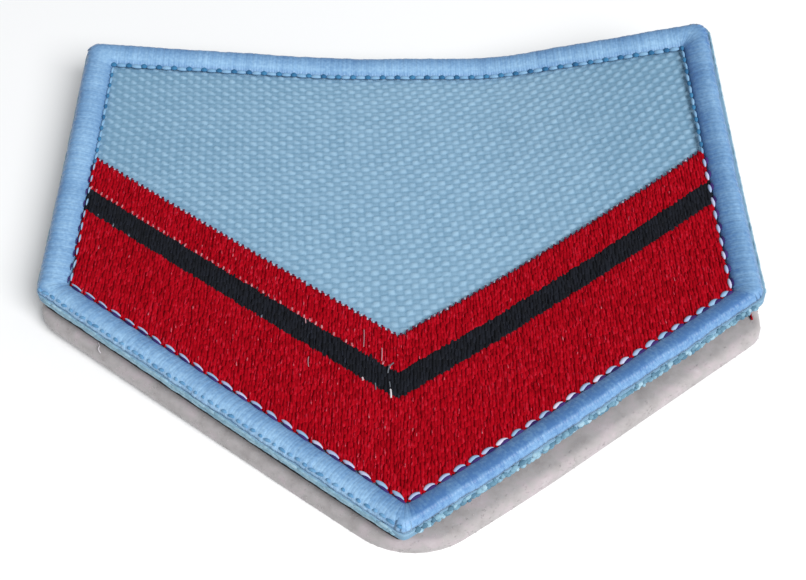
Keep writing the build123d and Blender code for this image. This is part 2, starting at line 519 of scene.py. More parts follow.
# %% [markdown]
# Hundreds of threads are one thread, modelled once and copied. An array modifier can't follow the
# patch round its corners, and hundreds of objects are slow. So the copies are worked out as one long
# list of points and joined into one mesh. Each copy keeps a tone, and the material reads it, so that
# every thread can have its own shade.

# %% Joining many copies
def joined_copies(name, master, places, tones):
    """One mesh of many copies of master, laid down; places holds the flat points of each copy."""
    count, size = places.shape[:2]
    sides = np.array([len(face.vertices) for face in master.data.polygons])
    corners = np.array([corner for face in master.data.polygons for corner in face.vertices])
    mesh = bpy.data.meshes.new(name)
    mesh.vertices.add(count * size)
    mesh.loops.add(count * len(corners))
    mesh.polygons.add(count * len(sides))
    mesh.vertices.foreach_set("co", places.astype(np.float32).ravel())
    all_corners = (corners[None, :] + (np.arange(count) * size)[:, None]).ravel()
    mesh.loops.foreach_set("vertex_index", all_corners.astype(np.int32))
    starts = np.concatenate([[0], np.cumsum(np.tile(sides, count))[:-1]])
    mesh.polygons.foreach_set("loop_start", starts.astype(np.int32))
    mesh.update(calc_edges=True)
    mesh.validate()
    mesh.shade_smooth()
    piece = bpy.data.objects.new(name, mesh)
    bpy.context.scene.collection.objects.link(piece)
    tones = np.asarray(tones, float)
    tones = tones if tones.ndim == 2 else tones.reshape(-1, 1)
    attribute(piece, "tone", np.broadcast_to(tones, (count, size)).ravel())
    lay_down(piece)
    return piece


def retire(master):
    bpy.data.objects.remove(master)


def closed_tube(sides):
    """Closes both ends of the tube that is in edit mode, and leaves edit mode."""
    bpy.ops.mesh.select_all(action="SELECT")
    bpy.ops.mesh.fill_holes(sides=sides)
    bpy.ops.mesh.normals_make_consistent(inside=False)
    bpy.ops.object.mode_set(mode="OBJECT")


# %% Arrays of directions and slow waves
def unit(vectors):
    return vectors / np.linalg.norm(vectors, axis=1)[:, None]


def right_of(directions):
    """Flat directions turned to their right, which is outwards on an anticlockwise outline."""
    return np.column_stack([directions[:, 1], -directions[:, 0]])


def wavering(count, period, seed):
    """Smooth random values from -1 to 1, one for each of count places on a closed line."""
    random = np.random.default_rng(seed).uniform(-1, 1, max(4, round(count / period)))
    return np.interp(np.arange(count), np.linspace(0, count, len(random) + 1), [*random, random[0]])


# %% [markdown]
# The border is satin stitch: threads laid side by side straight over the edge of the patch. One such
# thread starts as a small circle at the outer foot. Spin turns it up and over the outer shoulder, two
# extrusions carry it across the crown, and a second spin turns it down at the inner foot. A curve with
# a bevel would do as well, but spin keeps both shoulders round with few faces. The threads lie 0.42 mm
# apart, which is as coarse as they need to be to show.

# %% One thread over the border
thread_pitch = 0.42 * MM
thread_thickness = 0.30 * MM
thread_overlap = 1.1
outer_bend = border_height + layer_gap - thread_thickness / 2
inner_bend = 0.80 * outer_bend
bend_steps = 4
crown_run = border_width - thread_thickness - outer_bend - inner_bend
foot = (thread_thickness / 2, 0, -layer_gap)


def bend_over(centre):
    bpy.ops.mesh.spin(steps=bend_steps, angle=-pi / 2, center=centre, axis=(0, 1, 0))


fresh()
bpy.ops.mesh.primitive_circle_add(vertices=6, radius=thread_overlap * thread_pitch, location=foot)
border_thread = named("border_thread_master")
bpy.ops.object.mode_set(mode="EDIT")
bpy.ops.mesh.select_all(action="SELECT")
flatness = thread_thickness / (2 * thread_overlap * thread_pitch)
bpy.ops.transform.resize(value=(flatness, 1, 1), center_override=foot)
bend_over((foot[0] + outer_bend, 0, -layer_gap))
for drop in (0, inner_bend - outer_bend):
    bpy.ops.mesh.extrude_edges_move(TRANSFORM_OT_translate={"value": (crown_run / 2, 0, drop)})
bend_over((foot[0] + outer_bend + crown_run, 0, -layer_gap))
closed_tube(sides=6)
told(border_thread)

# %% [markdown]
# Along a straight edge each thread lies square to it. At a corner the threads fan out from the inner
# corner, and each is as wide as the room it has, so that no cloth shows between them.

# %% Where the border's threads stand
def border_feet():
    """Outer and inner foot of every thread, anticlockwise, and its edge, with fractions at corners."""
    corners = even_reach(-border_reach)
    outer_outline = rounded(moved_corners(lip_reaches), cloth_radii, steps=12)
    feet = []
    for number, corner in enumerate(corners):
        before = edge_direction(corners, number - 1)
        after = edge_direction(corners, number)
        turn = before.angle(after)
        setback = inner_corner_radius * tan(turn / 2)
        centre = corner - before * setback - outward(before) * inner_corner_radius
        start = atan2(outward(before).y, outward(before).x)
        count = ceil(turn * (inner_corner_radius + border_width / 2) / thread_pitch)
        angles = start + turn * np.arange(count) / count
        rays = np.column_stack([np.cos(angles), np.sin(angles)])
        inner = np.array(centre) + rays * inner_corner_radius
        edge = number - 1 + np.arange(count)[:, None] / count
        feet.append(np.hstack([out_from(centre, inner, outer_outline), inner, edge]))
        next_turn = after.angle(edge_direction(corners, number + 1))
        run_start = corner + after * setback
        run_end = corners[(number + 1) % 5] - after * (inner_corner_radius * tan(next_turn / 2))
        count = ceil((run_end - run_start).length / thread_pitch)
        inner = np.array(run_start) + np.arange(count)[:, None] / count * np.array(run_end - run_start)
        width = border_reach + lip_reaches[number]
        edge = np.full((count, 1), number)
        feet.append(np.hstack([inner + np.array(outward(after)) * width, inner, edge]))
    feet = np.vstack(feet)
    return feet[:, :2], feet[:, 2:4], feet[:, 4]


outer_feet, inner_feet, thread_edges = border_feet()
count = len(outer_feet)
print(count, "border threads")

# %% [markdown]
# No sewn thread lies quite true. Each one's outer foot, sway and height waver, in slow waves along the
# border and by chance from one thread to the next. Their crown is a dome, highest nearer to the outer
# foot, because the padding below pushes them up there.

# %% Laying the threads
outer_ease = 0.10
dome = 0.36 * MM
dome_lean = 0.68
flattened = 0.84
rng = np.random.default_rng(7)
thread = points_of(border_thread)
share = thread[:, 0] / border_width


def from_outer_to_inner(outer, inner):
    """Values along each thread, blended from those at its outer foot to those at its inner foot."""
    return outer[:, None] * (1 - share[:, None]) + inner[:, None] * share[:, None]


def step_at(feet):
    """The way to the next thread at each foot, in thread pitches."""
    return (np.roll(feet, -1, 0) - np.roll(feet, 1, 0)) / 2 / thread_pitch


wander = 0.10 * wavering(count, 12, 3) + 0.07 * wavering(count, 3, 1) + 0.04 * rng.uniform(-1, 1, count)
outer_feet = outer_feet + unit(outer_feet - inner_feet) * (wander[:, None] + outer_ease) * MM
sway = 0.06 * rng.uniform(-1, 1, count)[:, None] * np.sin(pi * share)
rise = 1 + 0.04 * wavering(count, 9, 2) + 0.02 * rng.uniform(-1, 1, count)
crown_lift = dome * np.sin(pi * np.clip(share, 0, 1) ** dome_lean)
across = from_outer_to_inner(outer_feet, inner_feet)
along = from_outer_to_inner(step_at(outer_feet), step_at(inner_feet))
places = np.empty((count, len(thread), 3))
places[:, :, :2] = across + along * (thread[None, :, 1] + sway * MM)[..., None]
places[:, :, 2] = thread_bottom + thread[None, :, 2] * flattened * rise[:, None] + crown_lift
print(f"crown of the threads up to {places[:, :, 2].max() / MM:.2f} mm above the floor")

# %% [markdown]
# Satin thread looks pale where it turns to the light and deep where it turns away, so each edge of the
# border has its own shades. Gloss gives a part of that. The rest is painted light and shade: a tone that
# runs along each thread, from its outer foot up to a crest of painted highlight and down to its inner
# foot, and is blended round the corners.

# %% Painted light and shade of the border's threads
BORDER_PAINTED_LIGHT = (
    # one row for each edge, the lower left first, then anticlockwise: painted light at the outer foot,
    # where the crest of painted highlight lies from there (0) to the inner foot (1), painted light on it,
    # painted light at the inner foot
    (0.90, 0.18, 0.84, 0.12),
    (0.44, 0.32, 0.00, 0.12),
    (0.12, 0.28, 0.56, -0.06),
    (0.05, 0.78, 0.86, 0.40),
    (0.16, 0.63, 0.82, 0.38),
)
outer_painted_light, crest, crest_painted_light, inner_painted_light = (
    np.interp(thread_edges, range(-1, 5), [column[-1], *column])[:, None]
    for column in zip(*BORDER_PAINTED_LIGHT))
to_crest = np.clip(share / crest, 0, 1)
from_crest = np.clip((share - crest) / (1 - crest), 0, 1)
# Painted light and shade along each thread, from its outer foot over the crest to its inner foot.
tones = outer_painted_light + (crest_painted_light - outer_painted_light) * to_crest + (inner_painted_light - crest_painted_light) * from_crest
uneven_dye = 0.10 * wavering(count, 6, 4) + 0.07 * rng.uniform(-1, 1, count)
tones = np.clip(tones + uneven_dye[:, None], 0, 1)
border = joined_copies("satin_border", border_thread, places, tones)
retire(border_thread)
told(border)

# %% [markdown]
# Under the threads lies the padding that gives the border its height. It is a copy of the fixed
# frame's own border, merged and shrunk a little along its normals, then joined to the threads. Without
# it one could see down to the cloth between them.

# %% Padding under the threads
def pad_under(piece, node, shrink, tone):
    pad = bpy.data.objects.new(piece.name + "_pad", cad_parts[node].data.copy())
    pad.data.materials.clear()
    bpy.context.scene.collection.objects.link(pad)
    picked(pad)
    bpy.ops.object.mode_set(mode="EDIT")
    bpy.ops.mesh.select_all(action="SELECT")
    bpy.ops.mesh.remove_doubles(threshold=0.001 * MM)
    bpy.ops.transform.shrink_fatten(value=-shrink)
    bpy.ops.object.mode_set(mode="OBJECT")
    attribute(pad, "tone", np.full(len(pad.data.vertices), tone))
    bpy.context.view_layer.objects.active = piece
    piece.select_set(True)
    bpy.ops.object.join()


pad_under(border, "border", shrink=0.42 * MM, tone=0.4)
told(border)

# %% [markdown]
# The bands are fill stitch: short threads end to end in columns, with the ends out of step from one
# column to the next. One stitch is a thin cylinder, cut into rings, with its ends drawn in and down.

# %% One fill stitch
fresh()
bpy.ops.mesh.primitive_cylinder_add(vertices=5, radius=0.5, depth=1.0, rotation=(pi / 2, 0, 0))
fill_stitch = named("fill_stitch_master")
bpy.ops.object.mode_set(mode="EDIT")
bpy.ops.mesh.select_all(action="DESELECT")
mesh = bmesh.from_edit_mesh(fill_stitch.data)
for edge in mesh.edges:
    edge.select = abs(edge.verts[0].co.y - edge.verts[1].co.y) > 0.5
bmesh.update_edit_mesh(fill_stitch.data)
bpy.ops.mesh.subdivide(number_cuts=3)
STITCH_RINGS = {
    # old place along the stitch: new place, width, height of its middle
    -0.50: (-0.50, 0.60, -0.20),
    -0.25: (-0.34, 0.95, -0.04),
    0.00: (0.00, 1.00, 0.03),
    0.25: (0.34, 0.95, -0.04),
    0.50: (0.50, 0.60, -0.20),
}
mesh = bmesh.from_edit_mesh(fill_stitch.data)
for vertex in mesh.verts:
    place, width, height = STITCH_RINGS[round(vertex.co.y, 2)]
    vertex.co = (vertex.co.x * width, place, vertex.co.z * width + height)
bmesh.update_edit_mesh(fill_stitch.data)
bpy.ops.object.mode_set(mode="OBJECT")
told(fill_stitch)

# %% [markdown]
# The columns stand upright on the patch, whatever the slant of their band, so a band is two lines and a
# column runs from the lower to the upper one. The machine leaves every other column a little longer,
# which makes the toothed edge. Wear lifts some threads, mostly left of the middle: each of these is a
# thin stitch on top, paler as worn thread and as a painted highlight. The columns are as coarse as they
# need to be to show.

# %% Columns of stitches in a band
column_pitch = 0.42 * MM
stitch_length = 1.05 * MM
stitch_thickness = 0.10 * MM
stitch_overlap = 0.15 * MM
shortest_stitch = 0.3 * MM
shortest_rest = 0.6 * MM
out_of_step = 0.618
right_tooth = 0.4
worn_height = 0.10 * MM
worn_glint_most, worn_glint_least = 1.8, 0.8
WORN_GLINT_STRIP = (-30 * MM, 2 * MM)
FLECK = 0.92
# Ranges for chance: a stitch's length in stitch lengths, width in column pitches and tone, then a worn
# thread's half length in mm, width and tone, whose pale end is a painted highlight.
LENGTHS, WIDTHS, TONES = (0.65, 1.35), (1.3, 1.8), (0.38, 0.62)
WORN_GLINT_HALVES, WORN_GLINT_WIDTHS, WORN_GLINT_TONES = (0.2, 0.45), (0.35, 0.55), (0.60, 0.74)


def band_columns(low_line, high_line):
    """Where each column of a band stands, starts and ends; the side edges close the two lines."""
    low_line = [high_line[0], *low_line]
    high_line = [*high_line, low_line[-1]]
    xs = np.arange(low_line[0].x + column_pitch / 2, low_line[-1].x, column_pitch)
    lows = np.interp(xs, [p.x for p in low_line], [p.y for p in low_line])
    highs = np.interp(xs, [p.x for p in high_line], [p.y for p in high_line])
    return xs, lows, highs


def stitch_copies(stitches, rng, height):
    """Points of the copies; a stitch is its x, start, end and width in column pitches."""
    count = len(stitches)
    master = points_of(fill_stitch)
    lean = rng.uniform(-0.14, 0.14, count)[:, None] * MM
    middle = (stitches[:, 1] + stitches[:, 2])[:, None] / 2
    length = (stitches[:, 2] - stitches[:, 1])[:, None]
    across = master[None, :, 0] * stitches[:, 3:4] * column_pitch
    places = np.empty((count, len(master), 3))
    places[:, :, 0] = stitches[:, :1] + across + lean * master[None, :, 1]
    places[:, :, 1] = middle + master[None, :, 1] * length
    places[:, :, 2] = height[:, None] + master[None, :, 2] * stitch_thickness
    return places


# %% Filling a band
def fill_band(name, low_line, high_line, seed, tooth, flecks, glints):
    """Stitches from a band's lower line up to its upper one, in columns a thread apart."""
    rng = np.random.default_rng(seed)
    sewn = []
    for number, (x, y_low, y_high) in enumerate(zip(*band_columns(low_line, high_line))):
        long_column = number % 2 == 0
        y_high += tooth * long_column * (1.0 if x < 0 else right_tooth) + rng.uniform(-0.05, 0.08) * MM
        worn_glint_share = glints * (worn_glint_most if WORN_GLINT_STRIP[0] < x < WORN_GLINT_STRIP[1] else worn_glint_least)
        y = y_low - (number * out_of_step % 1) * stitch_length
        while y < y_high:
            length = stitch_length * rng.uniform(*LENGTHS)
            start, end = max(y, y_low - 0.1 * MM), min(y + length, y_high)
            if y_high - end < shortest_rest:
                end = y_high
            if end - start > shortest_stitch:
                sewn.append((
                    x + rng.uniform(-0.11, 0.11) * MM, start - stitch_overlap, end + stitch_overlap,
                    rng.uniform(*WIDTHS), rng.uniform(*TONES)))
            # Worn threads on top, painted paler as a highlight.
            if rng.uniform() < worn_glint_share and end - start > 2 * shortest_stitch:
                middle = rng.uniform(start + 0.2 * MM, end - 0.2 * MM)
                half = rng.uniform(*WORN_GLINT_HALVES) * MM
                sewn.append((
                    x + rng.uniform(-0.1, 0.1) * MM, middle - half, middle + half,
                    rng.uniform(*WORN_GLINT_WIDTHS), rng.uniform(*WORN_GLINT_TONES) + 0.14 * rng.uniform() ** 4))
            y = y + length if end < y_high else y_high
        if long_column and x < 0 and rng.uniform() < flecks:
            sewn.append((x + 0.5 * column_pitch, y_low - 0.30 * MM, y_low + 0.30 * MM, 0.75, FLECK))
    stitches = np.array(sewn)
    lying = thread_top - stitch_thickness / 2
    height = lying + rng.uniform(-0.018, 0.018, len(stitches)) * MM
    height += np.where(stitches[:, 3] < 0.8, worn_height, 0)
    return joined_copies(name, fill_stitch, stitch_copies(stitches, rng, height), stitches[:, 4])


# %% The three bands
def band_top(number):
    return chevron(apexes[number] - layer_gap, band_reach)


BANDS = (
    # name, its node in the frame, lower line, seed, reach of the longer columns in mm, share of them with
    # a pale fleck at the foot, share of stitches with a worn thread on top, painted pale as a highlight
    ("lower_red_stitches", "lower_red_band", even_reach(-band_reach)[:3], 11, 0.10, 0.00, 0.13),
    ("black_stitches", "black_stripe", chevron(apexes[1], band_reach), 12, 0.36, 0.10, 0.10),
    ("upper_red_stitches", "upper_red_band", chevron(apexes[2], band_reach), 13, 0.26, 0.85, 0.13),
)
bands = []
for number, (name, node, low_line, seed, tooth, flecks, glints) in enumerate(BANDS, start=1):
    band = fill_band(name, low_line, band_top(number), seed, tooth * MM, flecks, glints)
    pad_under(band, node, shrink=0.14 * MM, tone=0.48)
    told(band)
    bands.append(band)
lower_red, black, upper_red = bands

# %% [markdown]
# Beyond the tip of each longer column of red thread the needle left a hole in the pale cloth, dark with
# shade, and between the holes a fleck of cloth yarn shows. Real holes in the mesh would need far more
# faces, so both are short stitches of their own: the hole a dark stitch in painted shade, the fleck a
# pale one.

# %% Needle holes and pale flecks over the upper red band
rng = np.random.default_rng(14)
xs, _, highs = band_columns(chevron(apexes[2], band_reach), band_top(3))
short_column = np.arange(len(xs)) % 2 == 1


def short_stitches(name, xs, starts, length, width, height, tones):
    """A row of single stitches of one length, and of one width in column pitches."""
    stitches = np.column_stack([xs, starts, starts + length, np.full(len(xs), width)])
    places = stitch_copies(stitches, rng, np.full(len(xs), thread_bottom + height))
    return joined_copies(name, fill_stitch, places, rng.uniform(*tones, len(xs)))


# The needle holes are dark stitches, a painted shade down in each hole.
beyond = highs + np.where(xs < 0, 0.30, 0.16) * MM
needle_holes = short_stitches(
    "needle_holes", xs[~short_column], beyond[~short_column], 0.52 * MM, 0.85, 0.38 * MM, (0.0, 0.5))
shown = short_column & (rng.uniform(size=len(xs)) < np.where(xs < 0, 0.8, 0.3))
edge_flecks = short_stitches(
    "pale_edge_flecks", xs[shown], highs[shown] + 0.10 * MM, 0.55 * MM, 0.8, 0.32 * MM, (0.3, 1.0))
retire(fill_stitch)
told(needle_holes)
told(edge_flecks)

# %% [markdown]
# A line of lock stitches holds the border down. Their number, slant, length and width differ from
# edge to edge, as counted and measured in the photograph, so one table holds them. The same three
# functions place everything that follows a line round the patch.

# %% Places along the border
STITCHES = np.array([
    # one row for each edge, the lower left first, then anticlockwise: count, slant in degrees, length as
    # a share of the step, width in mm beside the red and over the cloth, palest tone beside the red,
    # width of the dark gap, a painted shade, in mm
    (23, -5, 0.88, 0.48, 0.56, 0.85, 0.34),
    (24, 1, 0.82, 0.60, 0.62, 0.95, 0.50),
    (19, 4, 0.70, 0.44, 0.40, 0.80, 0.42),
    (38, 0, 0.72, 0.62, 0.62, 0.00, 0.00),
    (19, -4, 0.66, 0.44, 0.36, 0.76, 0.16),
])


def ring_places(reaches, pitch=None):
    """Middle and step of each stitch round a line at those reaches, and its edge's number."""
    corners = moved_corners(reaches)
    rows = []
    for number in range(5):
        start = np.array(corners[number])
        run = np.array(corners[(number + 1) % 5]) - start
        count = round(np.linalg.norm(run) / pitch) if pitch else int(STITCHES[number, 0])
        for stitch in range(count):
            rows.append((*(start + run * (stitch + 0.5) / count), *(run / count), number))
    rows = np.array(rows)
    return rows[:, :2], rows[:, 2:4], rows[:, 4].astype(int)


# %% Laying copies on the steps of a line
def spread_flat(master, middles, aheads, lengths, sides, widths, heights):
    """Copies of a master whose Y lies ahead and X to the side of each middle, at those heights."""
    x, y = master[None, :, 0, None], master[None, :, 1, None]
    places = np.empty((len(middles), len(master), 3))
    places[:, :, :2] = middles[:, None] + aheads[:, None] * y * lengths + sides[:, None] * x * widths
    places[:, :, 2] = heights
    return places


def laid_along(master, middles, steps, length_share, width, thickness, height, slants=0.0, shift=0.0):
    """Copies of a master that lies along Y, one on each step of a line."""
    long = np.linalg.norm(steps, axis=1)[:, None]
    ahead = steps / long
    turned = np.column_stack([
        ahead[:, 0] * np.cos(slants) - ahead[:, 1] * np.sin(slants),
        ahead[:, 0] * np.sin(slants) + ahead[:, 1] * np.cos(slants)])
    lengths = np.reshape(length_share, (-1, 1, 1)) * long[..., None]
    return spread_flat(
        master, middles + steps * shift, turned, lengths, right_of(turned),
        np.reshape(width, (-1, 1, 1)), height + master[None, :, 2] * thickness)


def over_cloth(middles):
    """True where a place on the stitch line is above the chevron."""
    return middles[:, 1] > apexes[3] + np.abs(middles[:, 0]) * tan(chevron_slope) - 0.3 * MM


# %% [markdown]
# A lock stitch is a thicker thread between two needle holes, fat in the middle and pulled down at both
# ends. A sphere has that form already once it is swelled and its ends are lowered. Over the cloth the
# stitches are the border's own blue. Beside the red they are nearly white and wide on the right, and
# get thinner and duller toward the left.

# %% One lock stitch
belly = 0.5
end_dip = 1.2
fresh()
bpy.ops.mesh.primitive_uv_sphere_add(segments=10, ring_count=8, radius=0.5, rotation=(pi / 2, 0, 0))
lock_stitch = named("lock_stitch_master")
bpy.ops.object.mode_set(mode="EDIT")
mesh = bmesh.from_edit_mesh(lock_stitch.data)
for vertex in mesh.verts:
    vertex.co.x *= 1 + belly * (1 - 4 * vertex.co.y ** 2) * abs(vertex.co.x)
    vertex.co.z -= end_dip * vertex.co.y ** 2
bmesh.update_edit_mesh(lock_stitch.data)
bpy.ops.object.mode_set(mode="OBJECT")
capsule = points_of(lock_stitch)
told(lock_stitch)

# %% Line of lock stitches
stitch_line = border_reach + 0.17 * MM
lock_thickness = 0.50 * MM
rng = np.random.default_rng(21)
middles, steps, edges = ring_places([-stitch_line] * 5)
count = len(edges)
on_cloth = over_cloth(middles)
_, slants, lengths, red_widths, cloth_widths, palest, gap_widths = STITCHES[edges].T
slants = np.radians(slants)
fade = np.interp(middles[:, 0] / half_width, (-0.9, -0.2), (0.5, 1.0))
widths = np.where(on_cloth, cloth_widths, red_widths * fade) * MM
heights = thread_top + np.where(on_cloth, -0.06, 0.04)[:, None] * MM
cloth_tones = rng.uniform(0.0, 0.2, count)
red_tones = rng.uniform(0.30, (palest * fade).clip(0.31))
jitter = rng.uniform(-0.06, 0.06, middles.shape) * MM
places = laid_along(
    capsule, middles + jitter, steps, lengths * rng.uniform(0.88, 1.06, count),
    widths * rng.uniform(0.9, 1.1, count), lock_thickness, heights,
    slants + rng.uniform(-0.07, 0.07, count))
tones = np.where(on_cloth, cloth_tones, red_tones)
lock_stitches = joined_copies("lock_stitches", lock_stitch, places, tones)
told(lock_stitches)

# %% [markdown]
# Beside the red a lock stitch pulls a gap open on its border side, where shade falls. Over the cloth what
# shows dark is the needle hole at its end. The same stitch form, thinner, set lower and coloured dark as
# painted shade, stands for both: real gaps would mean cutting the border, and a dark stripe in its
# material would have no depth.

# %% Gaps and needle holes beside the lock stitches
gap_line = border_reach - 0.16 * MM
gap_length_share = 0.84
gap_thickness, gap_height = 0.40 * MM, thread_bottom + 0.60 * MM
hole_length_share = 0.42
hole_thickness, hole_height = 0.36 * MM, thread_bottom + 0.52 * MM
red = ~on_cloth
gap_middles, gap_steps, _ = ring_places([-gap_line] * 5)
# Dark copies, a painted shade, in the gaps beside the red and in the needle holes over the cloth.
gaps = laid_along(
    capsule, gap_middles[red], gap_steps[red], gap_length_share * lengths[red],
    gap_widths[red] * MM, gap_thickness, gap_height, slants[red], shift=0.14)
holes = laid_along(
    capsule, middles[on_cloth], steps[on_cloth], hole_length_share, 1.25 * widths[on_cloth],
    hole_thickness, hole_height, shift=0.5)
tones = np.concatenate([rng.uniform(0.0, 0.4, len(gaps)), rng.uniform(0.7, 1.0, len(holes))])
stitch_gaps = joined_copies("stitch_gaps", lock_stitch, np.concatenate([gaps, holes]), tones)
told(stitch_gaps)

# %% [markdown]
# On the outer side the border's threads dive into the cloth in little groups. On the lower left edge the
# wall of the border shows between the groups in shade, and a row of dashes in a deeper blue, a painted
# shade, stands for it just above the cloth's lip.
# The photograph shows none on the other edges, so no dashes are sewn there.

# %% Dashes at the foot of the border
dash_pitch = 1.2 * MM
dash_width, dash_thickness = 0.38 * MM, 0.40 * MM
dash_height = thread_bottom + 0.84 * MM
rng = np.random.default_rng(22)
middles, steps, edges = ring_places([reach - 0.20 * MM for reach in lip_reaches], dash_pitch)
middles, steps = middles[edges == LOWER_LEFT], steps[edges == LOWER_LEFT]
count = len(middles)
jitter = rng.uniform(-0.09, 0.09, middles.shape) * MM
# The dashes' deeper blue is painted shade.
places = laid_along(
    capsule, middles + jitter, steps, rng.uniform(0.5, 1.1, count), dash_width, dash_thickness,
    dash_height, rng.uniform(-0.25, 0.35, count))
foot_dashes = joined_copies("border_foot_dashes", lock_stitch, places, rng.uniform(0, 1, count))
retire(lock_stitch)
told(foot_dashes)

# %% [markdown]
# The cloth's cut edge frays into a lumpy lip. Tufts of cut yarn swell out all round under the border,
# most on the lower right. One tuft is a coarse sphere, since hair strands would be far finer than the
# picture shows. Its copies follow the outline in two rows, and stay clear of the corners.

# %% Frayed yarn ends
FRAY = np.array([0.0, 0.16, 0.03, 0.0, 0.0]) * MM
tuft_pitch = 0.75 * MM
tuft_height = 0.66 * MM
fresh()
bpy.ops.mesh.primitive_uv_sphere_add(segments=8, ring_count=6, radius=0.5)
yarn_end = named("yarn_end_master")
tuft = points_of(yarn_end)
rng = np.random.default_rng(31)
middles, steps, edges = (np.concatenate([row, row]) for row in ring_places(cut_reaches, tuft_pitch))
count = len(edges)
to_corners = middles[:, None] - np.array(moved_corners(cut_reaches))[None]
from_corner = np.linalg.norm(to_corners, axis=2).min(1)
ragged = edges == LOWER_RIGHT
along = unit(steps)
levels = np.repeat((0.30, 0.74), count // 2) + rng.uniform(-0.10, 0.10, count)
swell = 0.5 + 0.5 * np.concatenate([wavering(count // 2, 3.2, seed) for seed in (22, 74)])
middles = out_from(field_middle, middles + rng.uniform(-0.5, 0.5, (count, 1)) * along * MM, cloth_outline)
depths = 0.36 * MM + 2 * FRAY[edges] * (0.2 + 1.6 * swell)
widths = np.where(ragged, 1.0, 2.2) * rng.uniform(0.6, 1.4, count) * MM
widths = np.minimum(widths, 1.2 * (from_corner - corner_radius / 2).clip(0.1 * MM))
heights = (cloth_bottom + levels * cloth_thickness)[:, None] + tuft[None, :, 2] * tuft_height
places = spread_flat(
    tuft, middles, along, widths[:, None, None], right_of(along), depths[:, None, None], heights)
# On the lower right many tufts are painted dark, as painted shade between the lumps.
tones = np.where(ragged, rng.uniform(0.0, 0.95, count), rng.uniform(0.7, 0.95, count))
kept = from_corner > 1.2 * MM
frayed = joined_copies("frayed_yarn_ends", yarn_end, places[kept], tones[kept])
retire(yarn_end)
told(frayed)

# %% [markdown]
# The hook tape and the loop piece are plain layers with soft edges. Each is a grid cut to its flat
# top, whose edge is then extruded over a quarter round, down the wall and in to the middle of its back.
# A bevel on the finished edge would give uneven steps at the corners. The grid itself is needed so that
# the flat face can roll smoothly at the sides.

# %% Layers under the cloth
def layer(name, reaches, radii, bottom, thickness, cell, rounding):
    top = bottom + thickness
    outline = rounded(moved_corners(reaches), radii, steps=14)
    inner_reaches = [reach - rounding for reach in reaches]
    flat_top = rounded(moved_corners(inner_reaches), [radius - rounding for radius in radii], steps=14)
    lows, highs = np.min(flat_top, axis=0), np.max(flat_top, axis=0)
    size = highs - lows + 2 * cell
    piece = grid(name, (lows + highs) / 2, size, [ceil(length / cell) for length in size])
    cut_out(piece, flat_top)
    flat = points_of(piece)
    flat[:, 2] = top
    set_points(piece, flat)
    rim = []
    turns = np.linspace(0, pi / 2, 6)
    for before, turn in zip(turns, turns[1:]):
        share = (sin(turn) - sin(before)) / (1 - sin(before))
        rim.append(toward_outline(outline, share, top - rounding * (1 - cos(turn))))
    rim.append(toward_outline(outline, 1, bottom))
    backed(piece, rim, bottom)
    flat_map(piece)
    lay_down(piece)
    bpy.ops.object.shade_smooth_by_angle(angle=radians(40))
    return piece, outline


loop_rounding = 1.1 * MM
hook_tape, hook_outline = layer(
    "nylon_hook_tape", hook_reaches, cloth_radii, hook_bottom, hook_thickness, 2.0 * MM, 0.2 * MM)
loop_piece, loop_outline = layer(
    "brushed_loop_piece", loop_reaches, loop_radii, 0, loop_thickness, 1.5 * MM, loop_rounding)

# %% [markdown]
# The loop piece is brushed: its pile is thousands of fine nylon loops. Hair particles would do this by
# hand, but their number and thickness don't reach an exported mesh. Here one loop is a tiny circle spun
# into an arch, and its copies stand on what shows of the piece, at every angle. Real loops are finer
# and closer. These are drawn as coarse as they need to be to show.

# %% One loop of the pile
pile_radius = 0.5
fibre_radius = 0.10
fresh()
bpy.ops.mesh.primitive_circle_add(vertices=3, radius=fibre_radius, location=(pile_radius, 0, 0))
pile_loop = named("pile_loop_master")
bpy.ops.object.mode_set(mode="EDIT")
bpy.ops.mesh.select_all(action="SELECT")
bpy.ops.mesh.spin(steps=5, angle=pi * 1.15, center=(0, 0, 0), axis=(0, 1, 0))
closed_tube(sides=3)
told(pile_loop)

# %% Spots for the pile along the edge
pile_count = 4200
rng = np.random.default_rng(41)
starts = np.array(loop_outline)
ends = np.roll(starts, -1, 0)
lengths = np.array([(b - a).length for a, b in zip(loop_outline, loop_outline[1:] + loop_outline[:1])])
chosen = rng.choice(len(lengths), pile_count, p=lengths / lengths.sum())
starts, ends = starts[chosen], ends[chosen]
directions = unit(ends - starts)
outwards = right_of(directions)
spots = starts + (ends - starts) * rng.uniform(0, 1, pile_count)[:, None]
# Where on the rim's section a loop stands: below 0 on the wall, 0 to 1 on the rounding, then on top.
arc = rng.uniform(-0.75, 3.0, pile_count)
rim_turn = np.clip(arc, 0, 1) * pi / 2
inset = loop_rounding * (1 - np.cos(rim_turn) + np.clip(arc - 1, 0, None))
heights = loop_thickness - loop_rounding * (1 - np.sin(rim_turn) - np.clip(arc, None, 0))
spots = spots - outwards * inset[:, None]
print(f"{pile_count} loops, up to {inset.max() / MM:.1f} mm in from the edge")

